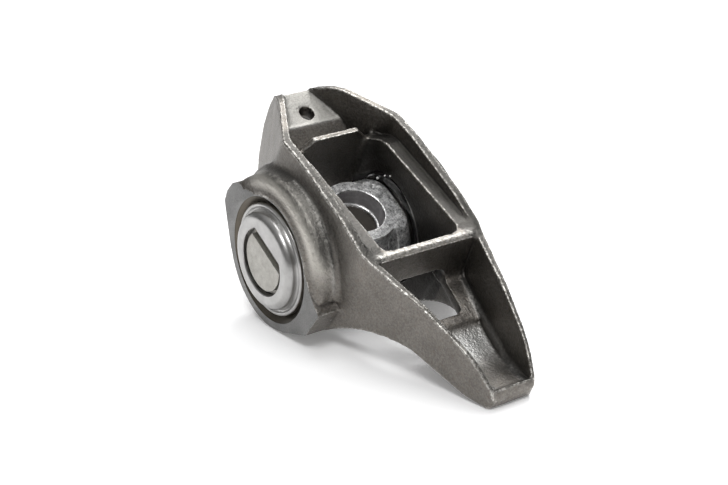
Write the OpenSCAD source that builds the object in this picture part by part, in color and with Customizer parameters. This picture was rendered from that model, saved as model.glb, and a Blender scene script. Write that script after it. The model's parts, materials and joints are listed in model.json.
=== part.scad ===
// Cast rocker arm on a needle-bearing trunnion, lying as it rests on a bench.
// Millimetres. The origin is the pivot centre, +X runs toward the nose, +Z is up.
// The casting is drawn level, with its rim flat, and at_rest() tips it onto the bench.

/* [Arm, side view] */
// Pivot to the pushrod end
push_reach = 27.0; // [26:0.1:32]
// Pivot to the middle of the valve tip pad; the nose, its floor and its hole follow it
tip_reach = 35.5; // [34:0.1:40]
// Middle of the valve tip pad to the nose end
nose_past = 12.7; // [11:0.1:15]
// Rim above the pivot, over the hubs
rim_h = 18.95; // [17.5:0.05:24]
// How far the rim has dropped at the back of the window
rim_back_drop = 0.95; // [0:0.05:2]
// How far the rim dips behind the hubs
rim_dip = 1.05; // [0:0.05:1.6]
// How far the rim has dropped by the middle of the nose
rim_nose_drop = 0.35; // [0:0.05:1.5]
// Rim above the pivot at the pushrod end
rim_end_h = 13.1; // [12.9:0.1:14]
// Rim above the pivot at the nose end
rim_tip_h = 15.2; // [14.5:0.1:16.5]
// Bottom corner of the nose above the pivot
nose_bottom_h = 11.25; // [10:0.05:12.5]
// Lower edge of the nose walls above the pivot, where the arch ends
nose_edge_h = 8.6; // [7.5:0.1:9.5]
// Radius of the arch under the nose
arch_r = 30; // [24:0.5:60]
// Lowest point of the pushrod block, below the pivot
push_bottom = 1.0; // [0:0.1:3]

/* [Arm, plan view] */
// Half width at the pushrod end
end_half = 4.9; // [4.6:0.1:7]
// Half width where the nose walls straighten
waist_half = 9.5; // [8.8:0.05:10.5]
// Half width at the end of the nose, before its corners are rounded
nose_half = 4.45; // [4.2:0.05:6.5]
// Thickness of the walls beside the window
wall_t = 1.75; // [1.4:0.05:2.5]
// Thickness of the nose walls
nose_wall_t = 1.2; // [0.9:0.05:2]
// Pivot to the back edge of the window
window_back = 11.8; // [11:0.1:14]
// Pivot to the front edge of the window
window_front = 16.65; // [14:0.05:20]

/* [Floors, pads and ribs] */
// Pushrod pad above the pivot, at its low edge
pad_h = 11.55; // [11:0.05:12.5]
// Rise of the pushrod pad toward the end
pad_rise = 1.2; // [0:0.1:1.8]
// Pivot to the low edge of the pushrod pad
pad_edge = 18.6; // [17.5:0.1:20]
// Half width of the pushrod pad at its low edge
pad_half = 6.05; // [5.5:0.05:6.5]
// How far the pad's walls lean out
pad_draft = 12.8; // [8:0.2:16]
// How far the pad's walls open toward the window
pad_flare = 24.7; // [22:0.1:26]
// Bottom of the trough in front of the back rib
trough_h = 9.4; // [8.6:0.1:10.5]
// Thickness of the back rib
back_rib_t = 1.1; // [0.8:0.05:1.6]
// Top of the back rib above the pivot
back_rib_h = 15.4; // [14.2:0.1:16.5]
// Half width of the raised middle of the back rib
back_rib_half = 4.7; // [3:0.1:5.5]
// Top of the front rib above the pivot
front_rib_h = 17.8; // [16.5:0.05:17.85]
// Thickness of the front rib
front_rib_t = 2.05; // [1.5:0.05:3]
// How far the front of the front rib leans forward at its foot
rib_lean = 0.9; // [0:0.1:1.2]
// Underside of the front rib above the pivot
front_rib_bottom = 11.5; // [10:0.1:13]
// Height of the ledge at the back of the window
ledge_back_h = 12.7; // [12:0.1:14]
// Nose pocket floor above the pivot
floor_h = 8.9; // [8.4:0.1:10]
// Rise of that floor by its front edge
floor_rise = 0.6; // [0:0.1:1]
// Thickness of the nose pocket floor
floor_t = 2.0; // [1.5:0.1:2.6]
// Front of the lightening hole to the middle of the valve tip pad
hole_gap = 7.9; // [7:0.1:10]
// Half width of the lightening hole at its back
hole_back_half = 5.9; // [4.5:0.1:7]
// Half width of the lightening hole at its front
hole_front_half = 4.7; // [3:0.1:5.6]
// Step where the scooped floor starts to the middle of the valve tip pad
scoop_gap = 5.8; // [4.6:0.1:6.2]
// Depth of that step
scoop_step = 0.7; // [0.2:0.1:1]
// Width of the sloping ledge between the scoop and a nose wall
foot_w = 0.8; // [0.4:0.1:1.2]
// Top of that ledge above the pivot, at the front rib
foot_h = 8.75; // [8.4:0.05:9.4]
// Oil hole radius
oil_r = 1.4; // [0.8:0.05:1.8]
// Pivot to the pushrod seat
seat_reach = 20.7; // [20:0.1:21.5]
// Pushrod seat radius, for an 8 mm ball end
seat_r = 4.0; // [3.6:0.05:4.2]
// Metal above the pushrod seat
seat_roof = 2.0; // [1.5:0.1:2.5]
// Length of the valve tip pad
tip_l = 11; // [9:0.1:12]
// Half width of the valve tip pad
tip_half = 4.2; // [3.5:0.1:5]
// Radius of the valve tip pad's contact face
tip_r = 16; // [12:0.5:30]
// Lowest line of the valve tip pad above the pivot
tip_h = 7.2; // [6.8:0.1:7.8]

/* [Hubs] */
// Radius of the round lower half of each hub
hub_r = 13.5; // [12.8:0.1:15]
// Pivot centre to the machined hub face; the walls, cups and trunnion follow it
hub_face = 17.2; // [16.4:0.1:20]
// How far the hubs stand out of the walls
hub_depth = 4.45; // [3.6:0.05:5]
// Bevel round that lower half, at the machined face
hub_bevel = 0.4; // [0.2:0.1:0.8]
// Radius of the upper half of each hub at its ridge
dome_r = 15.8; // [15:0.1:16.4]
// Radius where the machined face meets the upper half
dome_face_r = 12.7; // [12.3:0.1:13.5]
// Rounding of the ridge and of the fillet at the wall
dome_round = 1.3; // [0.9:0.1:1.6]
// Half spread of the two hub lugs
lug_x = 16.5; // [15.4:0.1:17.5]
// Where the lugs leave the round hub, above the pivot
lug_top = 5.0; // [4:0.1:5.5]
// Outer corner of the lugs above the pivot
lug_corner = 3.5; // [2:0.1:4]
// Lower corner of the lugs below the pivot
lug_bottom = 3.4; // [2:0.1:4]

/* [Bearings] */
// Outer radius of a bearing cup
cup_r = 10.5; // [10.2:0.05:11.5]
// Wall of a bearing cup
cup_wall = 1.03; // [0.8:0.01:1.2]
// Depth of a cup from its rim to its open inner end
cup_depth = 8.44; // [7.5:0.02:9]
// How far a cup's rim is pressed below the hub face
cup_sunk = 0.1; // [0:0.05:0.4]
// How far a cup's closed end stands out of its rim
cup_crown = 1.7; // [1.4:0.05:2.2]
// How far the walls reach past a cup's inner end
cup_shelter = 0.46; // [0.2:0.02:0.8]
// Lip that keeps the needles in, inner radius
lip_r = 7.7; // [7.4:0.05:8.3]
// Thickness of that lip
lip_t = 0.7; // [0.5:0.05:0.9]
// Radius of the D-shaped hole
d_hole_r = 6.25; // [6:0.05:6.6]
// Flat of the D-shaped hole above the pivot
d_hole_flat = 4.45; // [4:0.05:4.9]
// Needle radius
needle_r = 1.2; // [1:0.01:1.3]
// Running clearance on each side of a needle
needle_gap = 0.02; // [0.01:0.005:0.04]
// Clearance of the pressed cup in its bore
press_gap = 0.01; // [0.005:0.005:0.02]
// Chamfer at the mouth of each bore
bore_chamfer = 1.3; // [0.8:0.1:1.5]

/* [Trunnion] */
// Seat flats above and below the pivot
seat_flat = 7.8; // [7.4:0.1:8.4]
// Radius of the bolt boss
boss_r = 7.05; // [6.4:0.05:7.6]
// How much smaller in radius a shoulder is than a cup
shoulder_less = 0.7; // [0.4:0.05:1.3]
// Width of a shoulder
shoulder_w = 4.0; // [3:0.1:4.6]
// Play between a shoulder and the cup lip
end_play = 0.25; // [0.15:0.05:0.35]
// Rounding at the outer edge of a shoulder
shoulder_taper = 2.2; // [1:0.1:2.6]
// Bolt hole radius, for an 8 mm bolt
bolt_r = 4.2; // [4.05:0.05:4.5]
// Counterbore radius
counterbore_r = 4.85; // [4.6:0.05:5.4]
// Counterbore depth
counterbore_d = 3.3; // [1:0.1:5]
// Radius of the D-shaped ends
d_end_r = 5.5; // [5.1:0.05:5.8]
// Flat of the D-shaped ends above the pivot
d_end_flat = 2.2; // [1.5:0.1:3]
// How far the D-shaped ends lie inside the cup ends
d_end_recess = 0.4; // [0.2:0.05:0.6]

/* [Hidden] */
$fn = 96;
arc_steps = 6;
// Reach of a cutter past the solid that it cuts
past = 40;
edge = 0.4;
// Directions at which the hub's rounding starts and its cove starts and ends
face_turn = 72;
cove_turn = [182, 262];

// Places along the arm
nose_reach = tip_reach + nose_past;
hole_front = tip_reach - hole_gap;
scoop_start = tip_reach - scoop_gap;
back_rib_x = -window_back - back_rib_t;
front_rib_x = window_front + front_rib_t;
back_kink = window_back - 0.4;
front_kink = window_front - 0.8;
nose_end = nose_reach - nose_wall_t + 0.1;
waist_x = window_front + 11.4;
tip_back = tip_reach - tip_l / 2 + 1.2;
tip_front = tip_reach + tip_l / 2 + 2.6;
hub_arch_x = hub_r + 1.3;
hub_arch_h = -lug_bottom - 1.2;

// Widths, from the hub faces inwards
wide_half = hub_face - hub_depth;
cup_rim = hub_face - cup_sunk;
cup_inner = cup_rim - cup_depth;
cup_end = cup_rim + cup_crown;
window_half = cup_inner - cup_shelter;
shoulder_end = cup_inner - end_play;
shoulder_inner = shoulder_end - shoulder_w;
shoulder_r = cup_r - shoulder_less;

// Bench angle: the hubs touch, and in front the nose's rounded corner or the tip pad, whichever is lower
nose_round = 0.8;
nose_c = corner_centre(
    [nose_reach + 0.3, rim_tip_h - 2.1], [nose_reach - 0.3, nose_bottom_h],
    [tip_front, nose_edge_h + 1.2], nose_round
);
pad_front = [tip_reach + tip_l / 2, tip_h + tip_r - sqrt(tip_r * tip_r - tip_l * tip_l / 4)];
rest_tilt = min(lying_angle(nose_c, nose_round), lying_angle(pad_front, 0));

// Bearing fits, from the cup inwards
race_r = cup_r - cup_wall;
pitch_r = race_r - needle_gap - needle_r;
journal_r = pitch_r - needle_r - needle_gap;
needle_count = floor(180 / asin((needle_r + 0.01) / pitch_r));
needle_start = cup_inner + lip_t + 0.1;
needle_end = cup_rim - cup_wall + 0.1;
journal_end = cup_end - cup_wall - 0.35;
bore_r = cup_r + press_gap;

needles_near = [for (i = [1:needle_count]) str("needle_near_", i)];
needles_far = [for (i = [1:needle_count]) str("needle_far_", i)];

function unit(v) = v / norm(v);

// Points of an arc about c from angle a to angle b
// Centre of the rounding of radius r at the corner c between a and b
function corner_centre(a, c, b, r) =
    let (u = unit(a - c), v = unit(b - c))
    c + unit(u + v) * r / sin(acos(u * v) / 2);
// The angle at which a round corner of radius r about c and the hubs touch one bench
function lying_angle(c, r) = atan2(c[1], c[0]) + asin((hub_r - r) / norm(c));
function arc(c, r, a, b, n = arc_steps) = [
    for (i = [0:n]) let (t = a + (b - a) * i / n) c + r * [cos(t), sin(t)]
];

// One corner p between a and b, rounded to radius r where its sides leave room
function rounded_corner(a, p, b, r) =
    let (u = unit(a - p), v = unit(b - p), half = acos(u * v) / 2)
    let (room = 0.49 * min(norm(a - p), norm(b - p)) * tan(half), q = min(r, room))
    let (c = p + unit(u + v) * q / sin(half), s = p + u * q / tan(half), e = p + v * q / tan(half))
    let (from = atan2(s[1] - c[1], s[0] - c[0]), to = atan2(e[1] - c[1], e[0] - c[0]))
    let (turn = to - from > 180 ? to - from - 360 : to - from < -180 ? to - from + 360 : to - from)
    arc(c, q, from, from + turn, max(2, ceil(abs(turn) / 15)));

// A closed outline whose corners are [x, y, radius]
function rounded(p) = [
    for (i = [0:len(p) - 1])
        let (a = p[(i + len(p) - 1) % len(p)], c = p[i], b = p[(i + 1) % len(p)])
        each c[2] > 0 ? rounded_corner([a[0], a[1]], [c[0], c[1]], [b[0], b[1]], c[2]) : [[c[0], c[1]]]
];

// An arc of radius r from a to b that bulges to the left of that line
function arch(a, b, r, n) =
    let (h = norm(b - a) / 2, m = (a + b) / 2)
    let (w = unit([a[1] - b[1], b[0] - a[0]]), c = m - w * sqrt(r * r - h * h))
    let (from = atan2(a[1] - c[1], a[0] - c[0]), to = atan2(b[1] - c[1], b[0] - c[0]))
    arc(c, r, from, to, n);

function reversed(p) = [for (i = [len(p) - 1:-1:0]) p[i]];

module at_rest() { rotate([0, rest_tilt, 0]) children(); }
module both_sides() { children(); mirror([0, 1, 0]) children(); }

// Side-view outline, full width; the near side is the one cut by the sight line
module side_slab(points, half) {
    rotate([90, 0, 0]) linear_extrude(2 * half, center = true) polygon(points);
}
module side_slab_from(points, y0, y1) {
    translate([0, y1, 0]) rotate([90, 0, 0]) linear_extrude(y1 - y0) polygon(points);
}

// A plan-view outline given by its +Y half, mirrored and cut through the full height
module plan_column(half_points) {
    translate([0, 0, -past / 2]) linear_extrude(past * 1.5)
        polygon(concat(half_points, [for (p = reversed(half_points)) [p[0], -p[1]]]));
}

side_outline = concat(
    rounded([
        [hub_arch_x, hub_arch_h, 0],
        [-lug_x + 0.6, -lug_bottom, 0],
        [-push_reach + 3.4, -push_bottom + 1.4, 4],
        [-push_reach - 0.1, 4.6, 4],
        [-push_reach - 0.1, 10, 5],
        [-push_reach + 0.8, rim_end_h, 1],
        [-push_reach + 4.6, rim_h - rim_back_drop - 1.6, 10],
        [-window_back - 1.2, rim_h - rim_back_drop - 0.1, 12],
        [-4.5, rim_h, 16],
        [9.5, rim_h, 20],
        [window_front + 0.9, rim_h - rim_dip, 14],
        [nose_reach - 18, rim_h - rim_nose_drop, 25],
        [nose_reach - 6.6, rim_h - rim_nose_drop - 0.75, 14],
        [nose_reach - 1.1, rim_tip_h, 2.2],
        [nose_reach + 0.3, rim_tip_h - 2.1, 1.5],
        [nose_reach - 0.3, nose_bottom_h, nose_round],
        [tip_front, nose_edge_h + 1.2, 2]
    ]),
    reversed(arch([hub_arch_x, hub_arch_h], [tip_back, nose_edge_h], arch_r, 12))
);

// +Y half of the outer plan outline
outer_plan = rounded([
    [-push_reach - 1, 0, 0],
    [-push_reach - 1, end_half - 0.9, 1.6],
    [-back_kink, wide_half, 3],
    [front_kink, wide_half, 6],
    [waist_x, waist_half, 60],
    [nose_reach, nose_half, 1],
    [nose_reach, 0, 0]
]);

function outer_half(x) = lookup(x, [
    [-push_reach - 1, end_half - 0.9], [-back_kink, wide_half], [front_kink, wide_half],
    [waist_x, waist_half], [nose_reach, nose_half]
]);

// +Y half of the plan outline inside the walls, in front of the back rib
inner_plan = rounded([
    [back_rib_x, 0, 0],
    [back_rib_x, outer_half(back_rib_x) - wall_t - 0.4, 0],
    [-back_kink + 0.5, wide_half - wall_t, 2],
    [front_kink - 0.4, wide_half - wall_t, 5],
    [front_rib_x, inner_half(front_rib_x), 6],
    [nose_end, inner_half(nose_end), 1.3],
    [nose_end, 0, 0]
]);

// Inner side of a nose wall, straight from the front rib to the end of the nose
function inner_half(x) = lookup(x, [
    [front_rib_x, outer_half(front_rib_x) - nose_wall_t - 0.4], [nose_end, nose_half - 0.55]
]);
// Top of the sloping ledge, from back to front
ledge_tops = [
    [front_rib_x, foot_h], [scoop_start, foot_h + 1.6], [nose_reach - 8, foot_h + 3.2],
    [nose_reach - 3, foot_h + 5.0]
];

// Ledge round the window and floor of the nose pocket, from back to front
ledge_line = [
    [back_rib_x, ledge_back_h],
    [-window_back + 0.3, ledge_back_h + 0.3],
    [-window_back + 2.4, ledge_back_h + 1.8],
    [-window_back + 4.4, ledge_back_h + 2.6],
    [window_front - 1.6, front_rib_h],
    [front_rib_x, front_rib_h]
];
scoop_line = arch(
    [nose_reach - 1.4, rim_tip_h - 0.6], [scoop_start + 0.5, floor_h + floor_rise - scoop_step], 31, 10
);

module arm_blank() {
    intersection() {
        side_slab(side_outline, wide_half + 1);
        plan_column(outer_plan);
    }
}

// Everything that is open from above, in front of the back rib
module top_opening() {
    intersection() {
        plan_column(inner_plan);
        side_slab(concat(
            [[back_rib_x, past]],
            ledge_line,
            rounded_corner(
                [front_rib_x, front_rib_h], [front_rib_x + rib_lean, floor_h],
                [scoop_start, floor_h + floor_rise], 1.6
            ),
            [[scoop_start, floor_h + floor_rise]],
            reversed(scoop_line),
            [[nose_reach, past]]
        ), wide_half);
        union() {
            plan_column(concat(
                [[back_rib_x, 0], [back_rib_x, inner_half(front_rib_x) - foot_w]],
                [for (x = [front_rib_x, nose_end]) [x, inner_half(x) - foot_w]],
                [[nose_end, 0]]
            ));
            intersection() {
                above_ledges();
                mirror([0, 1, 0]) above_ledges();
            }
        }
    }
}

// Everything above the sloping ledge along the foot of a nose wall
module above_ledges() {
    for_all = [for (i = [0:len(ledge_tops) - 2]) [ledge_tops[i], ledge_tops[i + 1]]];
    intersection_for (pair = for_all) {
        a = [pair[0][0], inner_half(pair[0][0]), pair[0][1]];
        b = [pair[1][0], inner_half(pair[1][0]), pair[1][1]];
        half_space(a, cross(b - a, [0, 1, 1]));
    }
}

// All of space on the side of the point p that the direction n points to
module half_space(p, n) {
    translate(p) rotate([0, acos(n[2] / norm(n)), atan2(n[1], n[0])])
        translate([-2 * past, -2 * past, 0]) cube(4 * past);
}

// Pocket over the pushrod pad: its side walls lean outwards
module pad_opening() {
    intersection() {
        side_slab(rounded([
            [ledge_line[1][0], past, 0],
            [ledge_line[1][0], ledge_line[1][1], 0],
            [back_rib_x, ledge_back_h, 0],
            [back_rib_x - 0.3, trough_h, 1],
            [-pad_edge + 3.6, trough_h, 1.5],
            [-pad_edge, pad_h, 0],
            [-push_reach - 4, pad_h + pad_rise * 1.4, 0],
            [-push_reach - 4, past, 0]
        ]), wide_half);
        inside_wall([-pad_edge, pad_half, pad_h], pad_draft, pad_flare);
        mirror([0, 1, 0]) inside_wall([-pad_edge, pad_half, pad_h], pad_draft, pad_flare);
    }
}

// Everything on the inner side of a wall through p that leans out and is turned in plan
module inside_wall(p, lean, turn) {
    translate(p) rotate([-lean, 0, turn]) translate([-2 * past, -2 * past, -2 * past])
        cube([4 * past, 2 * past, 4 * past]);
}

module window_opening() {
    corner = 1.8;
    translate([0, 0, -past / 2]) linear_extrude(past * 1.5) polygon(rounded([
        [-window_back, -window_half, corner + 0.8], [-window_back, window_half, corner + 0.8],
        [window_front, window_half, corner], [window_front, -window_half, corner]
    ]));
}

// Lightening hole behind the front rib, open under the rib into the window
module floor_hole() {
    intersection() {
        translate([0, 0, -past / 2]) linear_extrude(past) polygon(rounded([
            [window_front - 1, -hole_back_half, 0], [window_front - 1, hole_back_half, 0],
            [front_rib_x + 0.8, hole_back_half, 2.4], [hole_front, hole_front_half, 1.6],
            [hole_front, -hole_front_half, 1.6], [front_rib_x + 0.8, -hole_back_half, 2.4]
        ]));
        translate([window_front - 2, 0, 0]) rotate([90, 0, 90]) linear_extrude(past) polygon(rounded([
            [-hole_back_half - 0.1, -past, 0], [hole_back_half + 0.1, -past, 0],
            [hole_back_half + 0.1, front_rib_bottom, 2.6], [-hole_back_half - 0.1, front_rib_bottom, 2.6]
        ]));
    }
}

// Hollow between the walls under the nose floor
module under_hollow() {
    half_back = window_half - 0.6;
    half_front = hole_front_half + 0.3;
    translate([0, 0, -past / 2]) linear_extrude(past / 2 + floor_h - floor_t) polygon([
        [window_front - 1, -half_back], [window_front - 1, half_back],
        [tip_back - 1, half_front], [tip_back - 1, -half_front]
    ]);
}

module back_rib() {
    foot = back_rib_half + back_rib_h - ledge_back_h;
    translate([back_rib_x, 0, 0]) rotate([90, 0, 90]) linear_extrude(back_rib_t) polygon([
        [-foot, trough_h - 1], [foot, trough_h - 1], [foot, ledge_back_h], [back_rib_half, back_rib_h],
        [-back_rib_half, back_rib_h], [-foot, ledge_back_h]
    ]);
}

// Metal under the scooped floor that carries the valve tip pad
module pad_root() {
    back = hole_front + 1;
    front = tip_reach + tip_l / 2 - 1.5;
    intersection() {
        side_slab([
            [back, tip_h + 0.35], [front, tip_h + 0.6], [front + 2, tip_h + 1.8],
            [front + 3.5, nose_edge_h + 1.6], [back, nose_edge_h + 0.6]
        ], wide_half);
        plan_column([
            [back - 1, 0], [back - 1, outer_half(back - 1) - 1.9],
            [front + 4, outer_half(front + 4) - 1.9], [front + 4, 0]
        ]);
    }
}

// Convex wear pad that rides on the valve stem
module tip_pad() {
    intersection() {
        translate([tip_reach, 0, tip_h + tip_r]) rotate([90, 0, 0])
            cylinder(r = tip_r, h = 2 * tip_half, center = true);
        translate([tip_reach - tip_l / 2, -tip_half, tip_h - 1])
            cube([tip_l, 2 * tip_half, nose_edge_h - tip_h + 3]);
    }
}

// Upper half of a hub: machined face, ridge, waist and the fillet at the wall
module hub_dome() {
    round_y = hub_face - 0.45 - dome_round;
    cove = dome_round - 0.35;
    profile = concat(
        [[cup_r - 1, wide_half - 0.6], [cup_r - 1, hub_face], [dome_face_r, hub_face]],
        arc([dome_r - dome_round, round_y], dome_round, face_turn, 0),
        [[dome_r - 0.15, (round_y + wide_half + cove) / 2], [dome_r + 0.1, wide_half + cove + 0.15]],
        arc([dome_r + 0.1 + cove, wide_half + cove], cove, cove_turn[0], cove_turn[1]),
        [[dome_r + 0.2 + cove, wide_half - 0.6]]
    );
    intersection() {
        rotate([-90, 0, 0]) rotate_extrude() polygon(profile);
        side_slab_from([
            [-past, lug_top - 0.5], [past, lug_top - 0.5], [past, rim_h - 1.3], [-past, rim_h - 1.3]
        ], window_half, hub_face + 1);
    }
}

// Where a line from p on the +X side runs on to the lower half of the hub
function touch_point(p) =
    let (turn = atan2(p[1], p[0]) - acos(hub_r / norm(p)))
    hub_r * [cos(turn), sin(turn)];

// Lower half of a hub with its two cast lugs; the pushrod side's is chamfered
module hub_base() {
    nose_low = [lug_x - 1.1, -lug_bottom];
    push_low = [lug_x - 1.2, -lug_bottom + 0.7];
    push_touch = touch_point(push_low);
    side_slab_from([
        [lug_x - 3.9, lug_top], [lug_x, lug_corner], nose_low, touch_point(nose_low),
        [0, -1],
        [-push_touch[0], push_touch[1]], [-push_low[0], push_low[1]], [-lug_x + 0.15, -1.3],
        [-lug_x, lug_corner - 2.3], [-lug_x + 0.8, lug_corner + 0.7], [-lug_x + 2.6, lug_top + 0.9]
    ], wide_half - wall_t, hub_face);
    intersection() {
        translate([0, window_half, 0]) rotate([-90, 0, 0]) {
            cylinder(r = hub_r, h = hub_face - window_half - hub_bevel);
            translate([0, 0, hub_face - window_half - hub_bevel])
                cylinder(r1 = hub_r, r2 = hub_r - hub_bevel, h = hub_bevel);
        }
        translate([-past / 2, 0, -past]) cube([past, past, past + lug_top]);
    }
}

module bearing_bore() {
    rotate([-90, 0, 0]) {
        translate([0, 0, window_half - 1]) cylinder(r = bore_r, h = hub_face);
        translate([0, 0, hub_face - bore_chamfer])
            cylinder(r1 = bore_r, r2 = bore_r + bore_chamfer, h = bore_chamfer + 0.001);
        translate([0, 0, window_half - 0.001]) cylinder(r1 = bore_r + edge, r2 = bore_r, h = edge);
    }
}

module pushrod_seat() {
    seat_z = pad_h + pad_rise * (seat_reach - pad_edge) / (push_reach - pad_edge) - seat_roof - seat_r;
    translate([-seat_reach, 0, seat_z]) {
        sphere(r = seat_r);
        translate([0, 0, -past]) cylinder(r1 = seat_r + 5, r2 = seat_r, h = past);
        translate([-0.7, 0, 0]) cylinder(r = oil_r, h = past);
    }
}

module rocker_body() {
    color("dimgray") at_rest() difference() {
        union() {
            difference() {
                union() { arm_blank(); pad_root(); tip_pad(); }
                top_opening();
                pad_opening();
                under_hollow();
                floor_hole();
            }
            back_rib();
            both_sides() { hub_dome(); hub_base(); }
        }
        window_opening();
        both_sides() bearing_bore();
        pushrod_seat();
    }
}

// A D shape about the pivot axis, from y0 to y1, with its flat on top
module d_bar(r, flat, y0, y1) {
    difference() {
        translate([0, y0, 0]) rotate([-90, 0, 0]) cylinder(r = r, h = y1 - y0);
        translate([-r, y0 - 1, flat]) cube([2 * r, y1 - y0 + 2, r]);
    }
}

module cup_far_shape() {
    bead = 0.5;
    groove_r = cup_r - bead - 0.25;
    crown_r = cup_r - bead - 0.45;
    crown_round = 1.15;
    outside = concat(
        [[cup_r - 0.35, cup_inner], [cup_r, cup_inner + 0.35]],
        arc([cup_r - bead / 2, cup_rim - bead / 2], bead / 2, 0, 180, 8),
        [[groove_r + 0.05, cup_rim - 0.35], [groove_r - 0.15, cup_rim - 0.3], [crown_r, cup_rim + 0.3]],
        [[crown_r - 0.45, cup_rim + 0.75]],
        arc([crown_r - 0.45 - crown_round, cup_end - crown_round], crown_round, 35, 90)
    );
    inside = [
        [0, cup_end], [0, cup_end - cup_wall],
        [journal_r + 0.7, cup_end - cup_wall], [race_r, needle_end + 0.15],
        [race_r, cup_inner + lip_t], [lip_r, cup_inner + lip_t], [lip_r, cup_inner]
    ];
    difference() {
        rotate([-90, 0, 0]) rotate_extrude() polygon(concat(outside, inside));
        d_bar(d_hole_r, d_hole_flat, cup_end - cup_wall - 1, cup_end + 1);
    }
}

module bearing_cup_far() { color("silver") at_rest() cup_far_shape(); }
module bearing_cup_near() { color("silver") at_rest() mirror([0, 1, 0]) cup_far_shape(); }

module needle(i, side) {
    turn = 360 * i / needle_count;
    middle = side * (needle_start + needle_end) / 2;
    color("gainsboro") at_rest() translate([pitch_r * sin(turn), middle, pitch_r * cos(turn)])
        rotate([90, 0, 0]) cylinder(r = needle_r, h = needle_end - needle_start, center = true, $fn = 32);
}

// Forged block with two journals, turned for the bearings and drilled for the bolt
module trunnion() {
    shoulder = concat(
        [[0, shoulder_inner], [shoulder_r, shoulder_inner]],
        arc([shoulder_r - shoulder_taper, shoulder_end - shoulder_taper], shoulder_taper, 0, 78),
        [[0, shoulder_end]]
    );
    color("gray") at_rest() difference() {
        union() {
            cylinder(r = boss_r, h = 2 * seat_flat, center = true);
            both_sides() {
                intersection() {
                    rotate([-90, 0, 0]) rotate_extrude() polygon(shoulder);
                    translate([-past / 2, 0, -seat_flat]) cube([past, past, 2 * seat_flat]);
                }
                rotate([-90, 0, 0]) {
                    cylinder(r = journal_r, h = journal_end - edge);
                    translate([0, 0, journal_end - edge])
                        cylinder(r1 = journal_r, r2 = journal_r - edge, h = edge);
                }
                d_bar(d_end_r, d_end_flat, shoulder_end, cup_end - d_end_recess);
            }
        }
        cylinder(r = bolt_r, h = past, center = true);
        translate([0, 0, seat_flat - counterbore_d]) cylinder(r = counterbore_r, h = past);
    }
}

rocker_body();
trunnion();
bearing_cup_near();
bearing_cup_far();
for (i = [1:needle_count]) {
    needle(i, -1);
    needle(i, 1);
}
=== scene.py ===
# Dresses the cast rocker arm: skins and machines the casting, forges the trunnion, turns the
# bearing cups, greases them, sets the needles, then the floor, the lamps and the camera.
import bpy
import bmesh
import json
import math
import numpy as np
from mathutils import Matrix, Vector, noise


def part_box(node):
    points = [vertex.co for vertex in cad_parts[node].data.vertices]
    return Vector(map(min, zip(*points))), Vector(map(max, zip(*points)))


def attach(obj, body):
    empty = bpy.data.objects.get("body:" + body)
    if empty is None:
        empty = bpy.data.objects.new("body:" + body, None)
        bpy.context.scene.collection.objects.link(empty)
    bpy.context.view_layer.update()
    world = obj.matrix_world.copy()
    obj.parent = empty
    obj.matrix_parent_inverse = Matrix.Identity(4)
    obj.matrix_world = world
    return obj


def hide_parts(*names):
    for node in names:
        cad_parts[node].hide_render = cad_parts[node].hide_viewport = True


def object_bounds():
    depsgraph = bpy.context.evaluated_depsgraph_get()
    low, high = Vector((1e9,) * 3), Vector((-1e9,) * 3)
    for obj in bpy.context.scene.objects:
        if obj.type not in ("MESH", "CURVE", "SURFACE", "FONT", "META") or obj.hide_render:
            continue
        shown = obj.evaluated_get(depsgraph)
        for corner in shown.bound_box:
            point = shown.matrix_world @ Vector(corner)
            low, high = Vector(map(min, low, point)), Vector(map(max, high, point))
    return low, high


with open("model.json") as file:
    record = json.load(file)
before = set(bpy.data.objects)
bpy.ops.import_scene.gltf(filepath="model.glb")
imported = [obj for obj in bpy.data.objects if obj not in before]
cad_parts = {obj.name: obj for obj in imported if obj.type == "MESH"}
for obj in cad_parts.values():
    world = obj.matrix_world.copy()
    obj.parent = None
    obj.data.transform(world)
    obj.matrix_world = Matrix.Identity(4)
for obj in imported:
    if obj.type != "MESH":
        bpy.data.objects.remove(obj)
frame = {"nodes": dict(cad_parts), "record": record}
cadLow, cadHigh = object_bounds()
mm = 0.001
boltAxis = next(m["axis"] for m in frame["record"]["mounts"] if m["name"] == "trunnion_bolt_bore")
armTilt = math.atan2(boltAxis[0], boltAxis[2])     # how far the arm is tipped onto the bench
print("frame loaded, arm tipped by", round(math.degrees(armTilt), 2))


def levelCoords(co):
    # points in metres to millimetres in the arm's own level frame
    c, s = math.cos(armTilt), math.sin(armTilt)
    x, y, z = co[:, 0] / mm, co[:, 1] / mm, co[:, 2] / mm
    return np.stack([x * c - z * s, y, x * s + z * c], axis=1)


def restCoords(level):
    # and back again
    c, s = math.cos(armTilt), math.sin(armTilt)
    x, y, z = level[:, 0], level[:, 1], level[:, 2]
    return np.stack([x * c + z * s, y, -x * s + z * c], axis=1) * mm


def pivotRadius(level):
    return np.hypot(level[:, 0], level[:, 2])


def drawTo(level, axes, chosen, radius):
    # moves the chosen points to one radius about the axis that the two axes leave out
    apart = np.hypot(level[:, axes[0]], level[:, axes[1]])
    level[:, axes] *= np.where(chosen, radius / np.maximum(apart, 1e-6), 1)[:, None]


def meshPoints(mesh):
    co = np.empty(len(mesh.vertices) * 3)
    mesh.vertices.foreach_get("co", co)
    return co.reshape(-1, 3)


def setPoints(mesh, co):
    mesh.vertices.foreach_set("co", np.asarray(co, dtype=np.float32).ravel())
    mesh.update()


def pointNormals(mesh):
    n = np.empty(len(mesh.vertices) * 3)
    mesh.vertex_normals.foreach_get("vector", n)
    return n.reshape(-1, 3)


def meshEdges(mesh):
    e = np.empty(len(mesh.edges) * 2, dtype=np.int64)
    mesh.edges.foreach_get("vertices", e)
    return e.reshape(-1, 2)


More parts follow.
